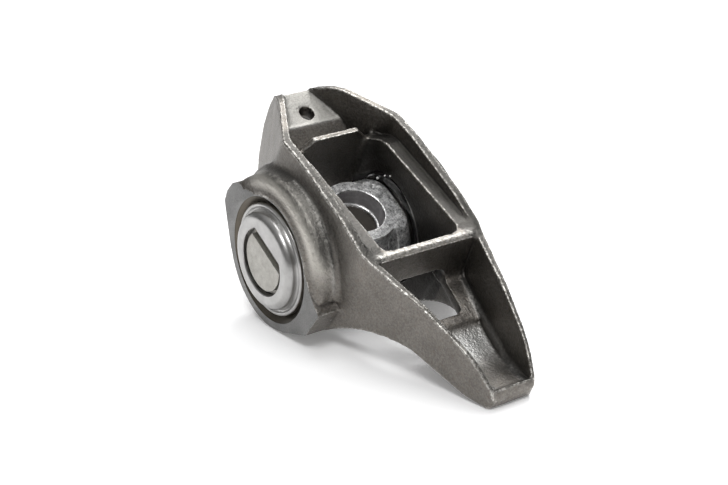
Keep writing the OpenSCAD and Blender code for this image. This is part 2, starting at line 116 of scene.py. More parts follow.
def paint(mesh, name, values):
    # a value for each point, which the materials read by its name
    layer = mesh.attributes.new(name, "FLOAT", "POINT")
    layer.data.foreach_set("value", values.astype(np.float32))


def fade(x, low, high):
    # 0 up to low, 1 past high, and smooth between
    t = np.clip((x - low) / (high - low), 0, 1)
    return t * t * (3 - 2 * t)


def wane(x, full, end):
    # the other way round: 1 up to full, 0 past end
    return fade(-x, -end, -full)


def within(x, low, full, last, high):
    # 0 outside low and high, 1 in the middle
    return fade(x, low, full) * wane(x, last, high)


def spread(values, edges, times, amount=0.5):
    # relaxes a value or a position over the mesh, a step at a time
    values = values.copy()
    count = np.bincount(edges.ravel(), minlength=len(values)).astype(float)
    count[count == 0] = 1
    flat = values.reshape(len(values), -1)
    ends, others = edges.T.ravel(), edges.T[::-1].ravel()
    for _ in range(times):
        total = [np.bincount(ends, weights=column[others], minlength=len(flat)) for column in flat.T]
        flat = flat + amount * (np.stack(total, axis=1) / count[:, None] - flat)
    return flat.reshape(values.shape)


def softened(co, edges, times):
    # a soft step, then a smaller one back, keeps the size
    for _ in range(times):
        co = spread(co, edges, 1, 0.5)
        co = spread(co, edges, 1, -0.42)
    return co


def calmed(co, edges, times, low, high):
    # takes out low facets, and leaves the true edges
    calm = spread(co, edges, times)
    moved = np.linalg.norm(calm - co, axis=1) / mm
    return co + (calm - co) * wane(moved, low, high)[:, None]


def swelling(co, edges, normals, times):
    # how far each point stands out from its surroundings, in millimetres
    return np.einsum("ij,ij->i", co - spread(co, edges, times), normals) / mm


def unevenness(co, length, offset=(0, 0, 0)):
    # smooth noise at each point, with waves of that length
    return np.array([noise.noise(Vector(p) / (length * mm) + Vector(offset)) for p in co])


def placed(name, data):
    thing = bpy.data.objects.new(name, data)
    bpy.context.scene.collection.objects.link(thing)
    return thing


def meshCopy(node, name):
    piece = placed(name, frame["nodes"][node].data.copy())
    piece.data.name = name
    bm = bmesh.new()
    bm.from_mesh(piece.data)
    bmesh.ops.remove_doubles(bm, verts=bm.verts, dist=1e-6)
    bm.to_mesh(piece.data)
    bm.free()
    for layer in ("custom_normal", "sharp_edge", "sharp_face"):
        if layer in piece.data.attributes:
            piece.data.attributes.remove(piece.data.attributes[layer])
    return piece


def newPiece(name, verts, faces):
    mesh = bpy.data.meshes.new(name)
    mesh.from_pydata([tuple(v) for v in verts], [], faces)
    mesh.update()
    return placed(name, mesh)


def dress(piece, *materials):
    piece.data.materials.clear()
    for material in materials:
        piece.data.materials.append(material)


def applyModifiers(piece):
    depsgraph = bpy.context.evaluated_depsgraph_get()
    mesh = bpy.data.meshes.new_from_object(piece.evaluated_get(depsgraph), depsgraph=depsgraph)
    piece.modifiers.clear()     # the old mesh goes once its shape is kept
    old = piece.data
    piece.data = mesh
    mesh.name = piece.name
    bpy.data.meshes.remove(old)


def voxelSkin(piece, voxel):
    remesh = piece.modifiers.new("skin", "REMESH")
    remesh.mode = "VOXEL"
    remesh.voxel_size = voxel * mm
    remesh.use_smooth_shade = True
    applyModifiers(piece)


def thinOut(piece, keep):
    thin = piece.modifiers.new("thinning", "DECIMATE")
    thin.ratio = keep
    applyModifiers(piece)


def cutWith(piece, cutter, operation="DIFFERENCE"):
    cut = piece.modifiers.new("machining", "BOOLEAN")
    cut.operation = operation
    cut.object = cutter
    cut.solver = "EXACT"
    cut.material_mode = "TRANSFER"      # machined faces keep the tool's material
    applyModifiers(piece)
    bpy.data.objects.remove(cutter)


def softShade(piece, sharpAngle):
    piece.data.polygons.foreach_set("use_smooth", [True] * len(piece.data.polygons))
    piece.data.set_sharp_from_angle(angle=math.radians(sharpAngle))


def outward(piece):
    bm = bmesh.new()
    bm.from_mesh(piece.data)
    bmesh.ops.recalc_face_normals(bm, faces=bm.faces)
    bm.to_mesh(piece.data)
    bm.free()


def aboutPivot(r, y, a):
    # radius and depth in millimetres and an angle to a point
    return r * mm * math.cos(a), y * mm, r * mm * math.sin(a)


def lathe(profile, turns, side):
    # revolves (radius, depth) points about the pivot axis, closed at both ends, side -1 or 1
    rings, verts, faces = [], [], []
    for r, y in profile:
        if r < 1e-9:
            rings.append([len(verts)])
            verts.append((0, side * y * mm, 0))
        else:
            rings.append(list(range(len(verts), len(verts) + turns)))
            verts += [aboutPivot(r, side * y, 2 * math.pi * i / turns) for i in range(turns)]
    for a, b in zip(rings, rings[1:]):
        for i in range(turns):
            j = (i + 1) % turns
            if len(a) == 1:
                faces.append([a[0], b[i], b[j]])
            elif len(b) == 1:
                faces.append([a[i], b[0], a[j]])
            else:
                faces.append([a[i], b[i], b[j], a[j]])
    return verts, faces


def joined(shapes):
    verts, faces = [], []
    for v, f in shapes:
        faces += [[i + len(verts) for i in face] for face in f]
        verts += v
    return verts, faces


def addNode(tree, kind, inputs, **settings):
    # numbers and colours are set on the inputs, and outputs are linked to them
    node = tree.nodes.new(kind)
    for key, value in settings.items():
        setattr(node, key, value)
    for key, value in inputs.items():
        socket = node.inputs[key]
        if isinstance(value, bpy.types.NodeSocket):
            tree.links.new(value, socket)
        elif value is not None:
            socket.default_value = (*value, 1) if socket.type == "RGBA" else value
    return node


class Shader:
    # a material with one Principled BSDF, whose patterns sit in the arm's own frame
    def __init__(self, name, **inputs):
        self.material = bpy.data.materials.new(name)
        self.material.use_nodes = True
        self.tree = self.material.node_tree
        self.bsdf = self.tree.nodes["Principled BSDF"]
        for key, value in inputs.items():
            self.bsdf.inputs[key.replace("_", " ")].default_value = value
        place = self.add("ShaderNodeMapping", {
            "Vector": self.add("ShaderNodeTexCoord", {}).outputs["Object"],
            "Rotation": (0, -armTilt, 0),
            "Scale": (1000, 1000, 1000),    # to millimetres
        })
        self.mm = place.outputs["Vector"]

    def add(self, kind, inputs, **settings):
        return addNode(self.tree, kind, inputs, **settings)

    def axes(self):
        return tuple(self.add("ShaderNodeSeparateXYZ", {0: self.mm}).outputs)

    def noise(self, scale, detail=3, roughness=0.5, vector=None):
        inputs = {"Vector": vector or self.mm, "Scale": scale, "Detail": detail, "Roughness": roughness}
        return self.add("ShaderNodeTexNoise", inputs).outputs["Fac"]

    def cells(self, scale):
        return self.add("ShaderNodeTexVoronoi", {"Vector": self.mm, "Scale": scale}).outputs["Distance"]

    def ramp(self, source, *stops):
        # each stop is a place and a colour, or a place and a grey
        node = self.add("ShaderNodeValToRGB", {"Fac": source})
        ramp = node.color_ramp
        while len(ramp.elements) < len(stops):
            ramp.elements.new(0.5)
        for element, (at, value) in zip(ramp.elements, stops):
            colour = value if isinstance(value, tuple) else (value,) * 3
            element.position = at
            element.color = (*colour, 1)
        return node.outputs["Color"]

    def math(self, operation, a, b=None):
        return self.add("ShaderNodeMath", {0: a, 1: b}, operation=operation).outputs["Value"]

    def times(self, a, b):
        return self.math("MULTIPLY", a, b)

    def blend(self, a, b, share):
        # a share of one pattern and the rest of another
        return self.math("ADD", self.times(a, share), self.times(b, 1 - share))

    def mix(self, factor, a, b):
        return self.add("ShaderNodeMix", {0: factor, 6: a, 7: b}, data_type="RGBA").outputs[2]

    def attribute(self, name):
        return self.add("ShaderNodeAttribute", {}, attribute_name=name).outputs["Fac"]

    def bump(self, height, strength, distance):
        inputs = {"Height": height, "Strength": strength, "Distance": distance * mm}
        self.into(self.add("ShaderNodeBump", inputs).outputs["Normal"], "Normal")

    def into(self, source, socket):
        self.tree.links.new(source, self.bsdf.inputs[socket])


castLook = {
    "skin": (0.126, 0.117, 0.106),      # oiled cast skin
    "skinPale": (0.230, 0.215, 0.196),
    "rust": (0.150, 0.112, 0.074),      # brown in the grain
    "burnishedSheen": (0.55, 0.526, 0.480),  # rubbed roll round the hub, painted paler on top as its highlight
    "rubAndSheen": (0.42, 0.416, 0.404),     # scooped floor and beads, paler and greyer: rubbed, and painted as their highlight
    "padLitSkin": (0.48, 0.472, 0.446),    # pushrod pad, matt, and painted paler for the light on its top
    "paintedTopShade": (0.060, 0.058, 0.054),     # painted shade on the tops of the rims and the end of the nose floor
    "deep": (0.030, 0.029, 0.027),      # painted shade in hollows, the waist and down the inner walls
    "wearAndHighlight": (0.62, 0.605, 0.57),        # bright along ribs and rims: wear, with painted highlight lines
    "grain": 2.8,                       # grains per millimetre
    "specks": 2.1,                      # specks of wear per millimetre
    "roughness": 0.42,
    "grainRelief": (0.75, 0.13),        # strength and height in millimetres
}


def castSkin():
    look = castLook
    s = Shader("castSkin", Metallic=0.92)
    grain = s.noise(look["grain"], 3, 0.6)
    cloud = s.noise(0.2, 3, 0.5)
    base = s.mix(s.ramp(s.blend(grain, cloud, 0.72), (0.37, 0), (0.63, 1)), look["skin"], look["skinPale"])
    stain = s.ramp(s.noise(1.5, 5, 0.7), (0.50, 0), (0.70, 0.34))
    speck = s.noise(look["specks"], 2, 0.6)
    burnishAndSheen, rubAndSheen, mattAndLit = s.attribute("burnishAndSheen"), s.attribute("rubAndSheen"), s.attribute("mattAndLit")
    wearAndHighlight = s.times(s.attribute("wearAndHighlight"), s.ramp(speck, (0.43, 0.10), (0.56, 1)))
    layers = (      # from the lowest up: share and finish
        (stain, "rust"),
        # the roll round the hub: rubbed, and painted paler as its highlight
        (s.times(burnishAndSheen, s.ramp(grain, (0.30, 0.80), (0.50, 1))), "burnishedSheen"),
        # the scooped floor and the beads: rubbed, and painted paler as their highlight
        (rubAndSheen, "rubAndSheen"),
        # the pushrod pad: matt, and painted paler as the light on its top
        (s.times(mattAndLit, s.ramp(grain, (0.36, 0.7), (0.56, 1))), "padLitSkin"),
        # painted shade on the rim tops and the far end of the nose floor
        (s.times(s.attribute("flat"), 0.88), "paintedTopShade"),
        # painted shade in the hollows and the waist by the hub
        (s.times(s.attribute("creaseShade"), 0.6), "deep"),
        # painted shade down the inner sides of the walls
        (s.times(s.attribute("wallShade"), 0.9), "deep"),
        # wear, with the painted highlight lines along the beads
        (wearAndHighlight, "wearAndHighlight"),
    )
    for share, finish in layers:
        base = s.mix(share, base, look[finish])
    s.into(base, "Base Color")
    rough = look["roughness"]
    fromGrain = s.math("SUBTRACT", grain, 0.5)
    for source, share in ((wearAndHighlight, -0.14), (burnishAndSheen, -0.02), (rubAndSheen, -0.08), (mattAndLit, 0.25), (fromGrain, 0.3)):
        rough = s.math("ADD", rough, s.times(source, share))
    s.into(rough, "Roughness")
    s.bump(s.math("ADD", grain, s.times(s.cells(1.5), 0.4)), *look["grainRelief"])
    return s.material


steels = {      # dark and pale tone of each finish
    "cup": ((0.33, 0.326, 0.318), (0.41, 0.405, 0.396)),
    "turnedEdge": ((0.30, 0.30, 0.30), (0.85, 0.85, 0.84)),
    "faced": ((0.150, 0.149, 0.146), (0.250, 0.248, 0.243)),
    "sawnEnd": ((0.31, 0.300, 0.272), (0.46, 0.448, 0.418)),
    "drilled": ((0.34, 0.33, 0.34), (0.50, 0.49, 0.50)),
    "forged": ((0.05, 0.05, 0.05), (0.38, 0.38, 0.38), (0.74, 0.74, 0.73)),     # with one between
    "grease": ((0.004, 0.004, 0.005), (0.014, 0.012, 0.011)),
    "bored": (0.13, 0.115, 0.095),      # single tones from here on
    "needle": (0.68, 0.68, 0.70),
    "forgedWearAndGlint": (0.85, 0.85, 0.84),
    "drilledBelowStep": (0.23, 0.21, 0.19),
    "oilShadeBlack": (0.012, 0.011, 0.010),
    # pale beads on the grease, painted glints
    "paintedGlint": (0.9, 0.9, 0.88),
    "oilShadeTo": 8.9,                       # depth to which the bores are black with oil and painted shade
}


def machinedSteel(name, base, roughness, rings, oilShadeTo=0):
    # bored or ground metal: fine tool rings about the pivot axis, painted black up to a depth, for oil and
    # for the shade of the walls around
    s = Shader(name, Metallic=1.0)
    x, y, z = s.axes()
    radius = s.math("SQRT", s.math("ADD", s.times(x, x), s.times(z, z)))
    turned = s.add("ShaderNodeCombineXYZ", {0: radius, 1: y})
    lines = s.noise(rings, 2, 0.6, turned.outputs["Vector"])
    cloud = s.noise(0.35, 4, 0.6)
    dark = tuple(v * 0.62 for v in base)
    colour = s.mix(s.ramp(s.blend(lines, cloud, 0.5), (0.35, 0), (0.65, 1)), dark, base)
    if oilShadeTo:
        # the bore's inner end is painted black: oil, and painted shade from the walls around
        inOilShade = s.math("LESS_THAN", s.math("ABSOLUTE", y), oilShadeTo)
        colour = s.mix(inOilShade, colour, steels["oilShadeBlack"])
    s.into(colour, "Base Color")
    s.into(s.math("ADD", roughness, s.times(s.math("SUBTRACT", cloud, 0.5), 0.3)), "Roughness")
    s.bump(lines, 0.25, 0.03)
    return s.material


def cupSteel():
    s = Shader("cupSteel", Metallic=1.0)
    dark, pale = steels["cup"]
    smear = s.noise(1.6, 2, 0.5)
    s.into(s.ramp(s.noise(0.35, 4, 0.6), (0.35, dark), (0.65, pale)), "Base Color")
    s.into(s.ramp(smear, (0.35, 0.28), (0.7, 0.36)), "Roughness")
    s.bump(smear, 0.06, 0.04)
    return s.material


def ringSteel():
    # the turned edges of the bolt hole
    s = Shader("ringSteel", Metallic=1.0)
    dark, pale = steels["turnedEdge"]
    wear = s.noise(1.3, 4, 0.65)
    s.into(s.ramp(wear, (0.40, dark), (0.60, pale)), "Base Color")
    s.into(s.ramp(wear, (0.35, 0.42), (0.65, 0.22)), "Roughness")
    return s.material


def bareFace():
    # the hub's faced ring: dull grey with a fine even grain
    s = Shader("facedSteel", Metallic=0.9, Roughness=0.5)
    dark, pale = steels["faced"]
    grain = s.noise(3.2, 3, 0.6)
    s.into(s.ramp(s.blend(grain, s.noise(0.3, 3, 0.5), 0.55), (0.36, dark), (0.64, pale)), "Base Color")
    s.bump(grain, 0.2, 0.06)
    return s.material


def sawnSteel():
    # the trunnion's ends: pale, matt and faintly stained
    s = Shader("endSteel", Metallic=0.8, Roughness=0.5)
    dark, pale = steels["sawnEnd"]
    fine = s.noise(5.0, 2, 0.6)
    s.into(s.ramp(s.blend(s.noise(0.9, 5, 0.65), fine, 0.6), (0.36, dark), (0.62, pale)), "Base Color")
    s.bump(fine, 0.12, 0.05)
    return s.material


def forgedSteel():
    # mottled scale, bright where the edges are worn, and painted bright on the knocks as highlights
    s = Shader("forgedSteel", Metallic=0.85)
    dark, middle, pale = steels["forged"]
    mottle = s.noise(1.3, 6, 0.75)
    fine = s.noise(4.5, 3, 0.7)
    base = s.ramp(s.blend(mottle, fine, 0.6), (0.38, dark), (0.5, middle), (0.62, pale))
    # wear on the edges, and painted highlights on the knocks
    wearAndHighlight = s.times(s.attribute("wearAndHighlight"), s.ramp(fine, (0.38, 0.25), (0.54, 1)))
    s.into(s.mix(wearAndHighlight, base, steels["forgedWearAndGlint"]), "Base Color")
    s.into(s.ramp(mottle, (0.35, 0.36), (0.65, 0.58)), "Roughness")
    s.bump(s.math("ADD", mottle, s.times(fine, 0.4)), 0.6, 0.25)
    return s.material


def greaseFilm():
    s = Shader("greaseAndGapShade", Roughness=0.09, Metallic=0.0, Specular_IOR_Level=0.7)
    dark, pale = steels["grease"]
    s.into(s.ramp(s.noise(0.8), (0.3, dark), (0.7, pale)), "Base Color")
    s.bump(s.noise(1.4), 0.3, 0.1)
    return s.material


castMetal = castSkin()
facedMetal = bareFace()
boredMetal = machinedSteel("boredSteel", steels["bored"], 0.40, 3.0, steels["oilShadeTo"])
endMetal = sawnSteel()
ringMetal = ringSteel()
cupMetal = cupSteel()
needleMetal = machinedSteel("needleSteel", steels["needle"], 0.18, 2.0)
forgedMetal = forgedSteel()
greaseMatter = greaseFilm()
# pale beads on the grease: painted glints
glintMatter = Shader("glint", Base_Color=(*steels["paintedGlint"], 1), Roughness=0.25).material
print("materials ready")


# the line of the thin painted highlight round each hub's roll, on a low bead
hubRing = tuple((15.75 * math.cos(a), 13.7, 15.75 * math.sin(a)) for a in np.radians(range(22, 112, 6)))
casting = {
    "hubFace": 17.2,        # machined hub face from the pivot centre
    "boreRadius": 10.51,
    "boreChamfer": 1.3,
    "boreStart": 8.2,       # where the bore opens into the window
    "boreEdge": 0.4,        # its broken edge there
    "boreFacets": 180,
    "faceStock": 0.6,       # metal left on for facing
    "boreStock": 0.8,       # and for boring
    "voxel": 0.2,           # size of the skin's mesh before it is thinned
    "keep": 0.27,           # share of its faces that stays
    "softening": 30,        # rounds over which the cast edges are softened
    "calming": 30,
    "facets": (0.07, 0.16),         # lower ones are smoothed, higher ones are true edges
    "waves": 0.05,                  # height of the skin's waves, and their length
    "waveLength": 3.2,
    "grains": 0.025,
    "grainLength": 0.7,
    "domeCentre": (13.6, 14.6),     # rounding of the roll round the hub: radius and depth
    "domeRound": 2.1,
    "domeFrom": 11.9,               # where the roll leaves the machined face
    "domeTo": 17.2,
    "lugTop": (5.0, 7.2),           # heights over which the roll runs into the lugs
    "backLug": 1.0,                 # the back lug is that much higher
    "holeAlong": (18.6, 19.6, 28, 29),      # where the cross hole of the nose is worn smooth
    "holeAcross": (6.8, 7.6),
    "holeHeight": (-1.5, 0.5, 7.9, 8.5),
    "holeRounds": 30,
    "beads": (              # height, half width, share of wear and painted highlight, share of rubbing and painted highlight, line in the level frame
        # the nose's far ledge, painted paler along its bead as a highlight
        (0.16, 0.55, 0.08, 0.9, ((16.8, 10.5, 8.1), (24.9, 8.4, 9.2), (30.8, 6.9, 10.2), (34.4, 6.0, 10.7),
                                 (39.0, 4.8, 11.4), (43.3, 3.8, 12.7), (45.8, 3.1, 14.1))),
        # the pushrod pad's edges, with painted highlight lines
        (0.12, 0.40, 0.12, 0.30, ((-26.4, 3.1, 12.6), (-18.9, 5.5, 11.6), (-18.9, 0.0, 11.6))),
        (0.22, 0.70, 0.55, 0.0, ((17.7, 0.0, 17.9), (17.7, 9.6, 17.9))),
        # the thin painted highlight line round each hub
        (0.13, 0.34, 0.22, 0.40, hubRing),
    ),
}


def castWithStock():
    # a copy of the solid with metal left on its hub faces and in its bores
    k = casting
    piece = meshCopy("rocker_body", "casting")
    level = levelCoords(meshPoints(piece.data))
    depth, side = np.abs(level[:, 1]), np.sign(level[:, 1])
    onFace = depth > k["hubFace"] - 0.01
    nearBore = pivotRadius(level) < k["boreRadius"] + k["boreChamfer"] + 0.05
    drawTo(level, [0, 2], nearBore & (depth > k["boreStart"] - 0.01), k["boreRadius"] - k["boreStock"])
    level[onFace, 1] = (k["hubFace"] + k["faceStock"]) * side[onFace]
    setPoints(piece.data, restCoords(level))
    return piece


def rollHub(co):
    # rounds the upper half of each hub into one broad roll
    k = casting
    level = levelCoords(co)
    radius = pivotRadius(level)
    depth, side = np.abs(level[:, 1]), np.sign(level[:, 1])
    r0, d0 = k["domeCentre"]
    out, deep = radius - r0, depth - d0
    far = np.hypot(out, deep)
    inRoll = (out > 0) & (deep > 0) & (far > k["domeRound"]) & (radius < k["domeTo"])
    pull = np.where(inRoll, k["domeRound"] / np.maximum(far, 1e-6), 1)
    newRadius = np.where(inRoll, r0 + out * pull, radius)
    newDepth = np.where(inRoll, d0 + deep * pull, depth)
    slope = (k["hubFace"] - d0 - k["domeRound"]) / (r0 - k["domeFrom"])
    roof = k["hubFace"] - slope * (radius - k["domeFrom"])
    onSlope = (radius > k["domeFrom"]) & (out <= 0)
    newDepth = np.where(onSlope, np.minimum(depth, roof), newDepth)
    upper = fade(level[:, 2] - k["backLug"] * (level[:, 0] < 0), *k["lugTop"])
    turn = radius + (newRadius - radius) * upper
    level[:, [0, 2]] *= (turn / np.maximum(radius, 1e-6))[:, None]
    level[:, 1] = side * (depth + (newDepth - depth) * upper)
    return restCoords(level)


def beadMarks(level, normals):
    # low rounded beads along ledges, ribs and hubs: their height, and how worn and rubbed they are, with the
    # painted highlight lines along them
    marks = np.zeros((3, len(level)))
    facing = fade(np.abs(normals[:, 1]) + normals[:, 2], 0.1, 0.4)
    folded = level * (1, 0, 1) + np.abs(level) * (0, 1, 0)
    for height, half, wearAndHighlight, rubAndSheen, line in casting["beads"]:
        apart = np.full(len(level), 9.0)
        for a, b in zip(line, line[1:]):
            a, b = np.array(a), np.array(b)
            along = np.clip((folded - a) @ (b - a) / ((b - a) @ (b - a)), 0, 1)
            apart = np.minimum(apart, np.linalg.norm(folded - a - along[:, None] * (b - a), axis=1))
        bump = np.exp(-(apart / half) ** 2) * facing
        marks = np.maximum(marks, np.outer((height, wearAndHighlight, rubAndSheen), bump))
    return marks


def skin(piece):
    k = casting
    voxelSkin(piece, k["voxel"])
    edges = meshEdges(piece.data)
    co = softened(meshPoints(piece.data), edges, k["softening"])
    co = calmed(rollHub(co), edges, k["calming"], *k["facets"])
    level = levelCoords(co)
    x, across, z = level[:, 0], np.abs(level[:, 1]), level[:, 2]
    inHole = within(x, *k["holeAlong"]) * wane(across, *k["holeAcross"]) * within(z, *k["holeHeight"])
    co = co + (spread(co, edges, k["holeRounds"]) - co) * inHole[:, None]
    setPoints(piece.data, co)
    normals = pointNormals(piece.data)
    co = co + normals * (beadMarks(levelCoords(co), normals)[0] * mm)[:, None]
    setPoints(piece.data, co)
    normals = pointNormals(piece.data)
    wave = unevenness(co, k["waveLength"])
    grain = unevenness(co, k["grainLength"], (7, 3, 1))
    co = co + normals * ((wave * k["waves"] + grain * k["grains"]) * mm)[:, None]
    setPoints(piece.data, co)
    thinOut(piece, k["keep"])


def machine(piece):
    # faces both hubs with slabs, then bores them
    k = casting
    wide, thick = 60, 6     # of a facing slab
    past = 1                # how far the boring tool runs out
    r, face, start = k["boreRadius"], k["hubFace"], k["boreStart"]
    chamfer, edge = k["boreChamfer"], k["boreEdge"]
    profile = [(0, start - past), (r + edge + past, start - past), (r, start + edge),
               (r, face - chamfer), (r + chamfer + past, face + past), (0, face + past)]
    box = [[0, 1, 3, 2], [4, 6, 7, 5], [0, 4, 5, 1], [2, 3, 7, 6], [0, 2, 6, 4], [1, 5, 7, 3]]
    slabs, bores = [], []
    for side in (-1, 1):
        corners = [(x * mm, side * y * mm, z * mm)
                   for x in (-wide, wide) for y in (face, face + thick) for z in (-wide, wide)]
        slabs.append((corners, box))
        bores.append(lathe(profile, k["boreFacets"], side))
    for name, shapes, metal in (("facing", slabs, facedMetal), ("boring", bores, boredMetal)):
        cutter = newPiece(name, *joined(shapes))
        outward(cutter)
        dress(cutter, metal)
        cutWith(piece, cutter)


# wear, painted highlights and painted shade on the cast skin
wear = {
    "edge": (0.025, 0.10),          # how far an edge stands out where wear starts, and where it is full
    "edgeShare": 0.85,
    "lipShare": 0.8,                # round the faced rings
    "pocketShare": 0.1,             # in the pocket of the nose
    "rollRadius": (12.8, 14.2, 15.4, 16.4),     # where the roll round a hub is rubbed, and painted with its highlight
    "rollDepth": (13.0, 14.0),
    "rollHeight": (0, 4),
    # heights over which the roll's painted highlight comes in
    "rollSheenHeight": (6, 12.5),
    "dip": (0.02, 0.22),            # how deep a hollow is where painted shade starts, and where it is full
    "dipShare": 0.45,               # of it in the pocket and at the lugs
    "waistShare": 0.55,             # of painted shade between the roll and the wall
    "waistHeight": (5, 12),
    "waistRadius": (18, 24),
    "waistDepth": (12.0, 12.5, 13.5, 14.5),
    "scoop": (29, 33, 35, 42),      # where the floor of the nose is rubbed and painted paler as its highlight
    "floorShade": (36, 43),           # from where the floor gets painted shade, and where that is full
    "floorShadeShare": 0.9,
    "padShare": 0.85,
    "padFrom": (-19.0, -18.2),      # where the pushrod pad ends, and its highest point
    "padTop": 13.5,
    "wallLine": ((-28, 4), (-11.4, 12.75), (15.85, 12.75), (28.05, 9.5), (48.2, 4.45)),
    "rimWidth": ((15, 4.9), (19.5, 2.4)),       # half widths of the arm, then widths of its rim
    "pocketLine": ((19, 9.6), (48.2, 2.6)),
    "pocketTop": 11.5,
    "pocketFrom": 19,
    "boreClear": (1.6, 1.5),        # round a bore's inner end nothing is worn: radius and depth
    "lugs": (12.2, 8),              # they lie outside this depth and below this height
    "rimHeight": (4, 5),            # the rim tops get painted shade from here up
    "rimFrom": (-15, -13),          # and from here to the nose
    "wallTop": 18.0,                # the walls get painted shade from here down
    "window": (-14, 19),            # from where to where the window reaches along the arm
    "noseWallShade": 0.55,            # the nose gets less painted shade than the window
}


def alongArm(x, line):
    return np.interp(x, *zip(*line))


def wallShade(normals, level):
    # painted shade on the inner sides of the walls, deeper is darker
    inside = fade(-normals[:, 1] * np.sign(level[:, 1]), 0.2, 0.7)
    depth = fade(wear["wallTop"] - level[:, 2], 0.5, 7)
    low, high = wear["window"]
    inWindow = (level[:, 0] > low) & (level[:, 0] < high)
    return inside * depth * np.where(inWindow, 1.0, wear["noseWallShade"])


def markSkin(piece):
    # where the skin is worn bright, rubbed or matt, with painted highlights and a paler painted pad, and
    # where painted shade lies on the rims, in the hollows and down the inner walls
    k = wear
    mesh = piece.data
    edges, co, normals = meshEdges(mesh), meshPoints(mesh), pointNormals(mesh)
    level = levelCoords(co)
    x, across, z = level[:, 0], np.abs(level[:, 1]), level[:, 2]
    radius = pivotRadius(level)
    up = normals[:, 0] * math.sin(armTilt) + normals[:, 2] * math.cos(armTilt)
    outer = alongArm(x, k["wallLine"])
    onRim = across > outer - alongArm(x, k["rimWidth"])
    inNose = x > k["pocketFrom"]
    inPocket = inNose & (z < k["pocketTop"]) & (across < alongArm(x, k["pocketLine"]))
    clearRadius, clearDepth = k["boreClear"]
    lugDepth, lugTop = k["lugs"]
    atBore = (radius < casting["boreRadius"] + clearRadius) & (across < casting["boreStart"] + clearDepth)
    atLug = (across > lugDepth) & (z < lugTop)
    roll = within(radius, *k["rollRadius"]) * fade(across, *k["rollDepth"]) * fade(z, *k["rollHeight"])
    ridge = k["edgeShare"] * fade(swelling(co, edges, normals, 8), *k["edge"])
    lip = fade(across, casting["hubFace"] - 0.05, casting["hubFace"] - 0.01)
    _, beadWearAndHighlight, beadRubAndSheen = beadMarks(level, normals)
    share = np.where(atBore, 0, np.where(inPocket, k["pocketShare"], 1)) * (1 - roll)
    # wear on edges and lips, and the painted highlight lines of the beads
    wearAndHighlight = (ridge + k["lipShare"] * lip) * share + beadWearAndHighlight
    # painted shade in concave hollows, and in the waist between the roll and the wall
    dip = fade(-swelling(co, edges, normals, 40), *k["dip"]) * np.where(inPocket | atLug, k["dipShare"], 1)
    waist = k["waistShare"] * fade(z, *k["waistHeight"]) * wane(radius, *k["waistRadius"])
    waist *= within(across, *k["waistDepth"])
    floor = fade(up, 0.8, 0.95) * (across < outer - 2.2) * inNose
    scoop = floor * within(x, *k["scoop"])
    # painted shade on the up-facing tops of the rims
    flat = fade(up, 0.5, 0.8) * fade(z, *k["rimHeight"]) * fade(x, *k["rimFrom"]) * onRim * (1 - ridge)
    paint(mesh, "wearAndHighlight", np.clip(wearAndHighlight, 0, 1))
    # the upper roll is painted paler as its highlight, over its rubbed metal
    paint(mesh, "burnishAndSheen", roll * fade(z, *k["rollSheenHeight"]))
    # the scooped floor and the beads are painted paler as their highlight
    paint(mesh, "rubAndSheen", np.clip(scoop + beadRubAndSheen, 0, 1))
    # the top of the pushrod pad is made matt and painted paler, standing in for the light on it
    onPad = wane(x, *k["padFrom"]) * fade(up, 0.8, 0.9) * (z < k["padTop"])
    paint(mesh, "mattAndLit", k["padShare"] * onPad)
    # painted shade on the rim tops and on the far end of the nose floor
    paint(mesh, "flat", np.clip(flat + k["floorShadeShare"] * floor * fade(x, *k["floorShade"]), 0, 1))
    paint(mesh, "creaseShade", np.maximum(dip, waist))
    paint(mesh, "wallShade", wallShade(normals, level))


body = castWithStock()
skin(body)
print("casting skinned:", len(body.data.polygons), "faces")
dress(body, castMetal)
machine(body)
print("casting machined:", len(body.data.polygons), "faces", [m.name for m in body.data.materials])
markSkin(body)
softShade(body, 42)
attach(body, "arm")
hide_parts("rocker_body")


forging = {
    "shoulderEnd": 8.41,        # outer side of a shoulder from the pivot centre
    "journal": 7.03,            # radius that the needles roll on
    "seatFlat": 7.8,            # seat faces above and below the pivot
    "boltHole": 4.2,
    "boltEdge": 0.2,            # its broken edge at the lower seat
    "counterbore": 4.85,
    "counterboreDepth": 3.3,
    "mouthChamfer": 0.28,
    "innerRound": 0.55,
    "endStock": 0.25,           # metal left on past the shoulders
    "holeStock": 0.9,           # and in the bolt hole
    "journalLap": 0.3,          # how far a journal reaches into the block
    "voxel": 0.2,
    "keep": 0.4,
    "softening": 6,
    "calming": 40,
    "facets": (0.10, 0.22),     # lower ones are smoothed, higher ones are true edges
    "lumps": 0.16,              # height of the forging's lumps, and their length
    "lumpLength": 2.6,
    "grains": 0.04,
    "grainLength": 0.8,
    "dents": (                  # height, half width, place in the level frame
        # the raised ones also carry painted highlights
        (-0.45, 0.42, (-4.3, 5.7, 7.8)), (0.25, 0.55, (-3.8, 7.2, 7.6)), (0.25, 0.60, (3.4, 7.4, 7.5)),
        (-0.25, 0.45, (1.2, 7.0, 7.7)), (-0.3, 0.5, (5.4, 6.6, 6.8)),
    ),
}


def drilledSteel():
    # the bolt hole's walls: grey by the mouth, darker and browner below the step
    s = Shader("drilledSteel", Metallic=0.55, Roughness=0.5)
    dark, pale = steels["drilled"]
    wall = s.ramp(s.noise(0.8, 4, 0.6), (0.35, dark), (0.65, pale))
    stepHeight = forging["seatFlat"] - forging["counterboreDepth"] - 0.3
    below = s.math("LESS_THAN", s.axes()[2], stepHeight)
    s.into(s.mix(below, wall, steels["drilledBelowStep"]), "Base Color")
    s.bump(s.noise(3.0), 0.15, 0.05)
    return s.material


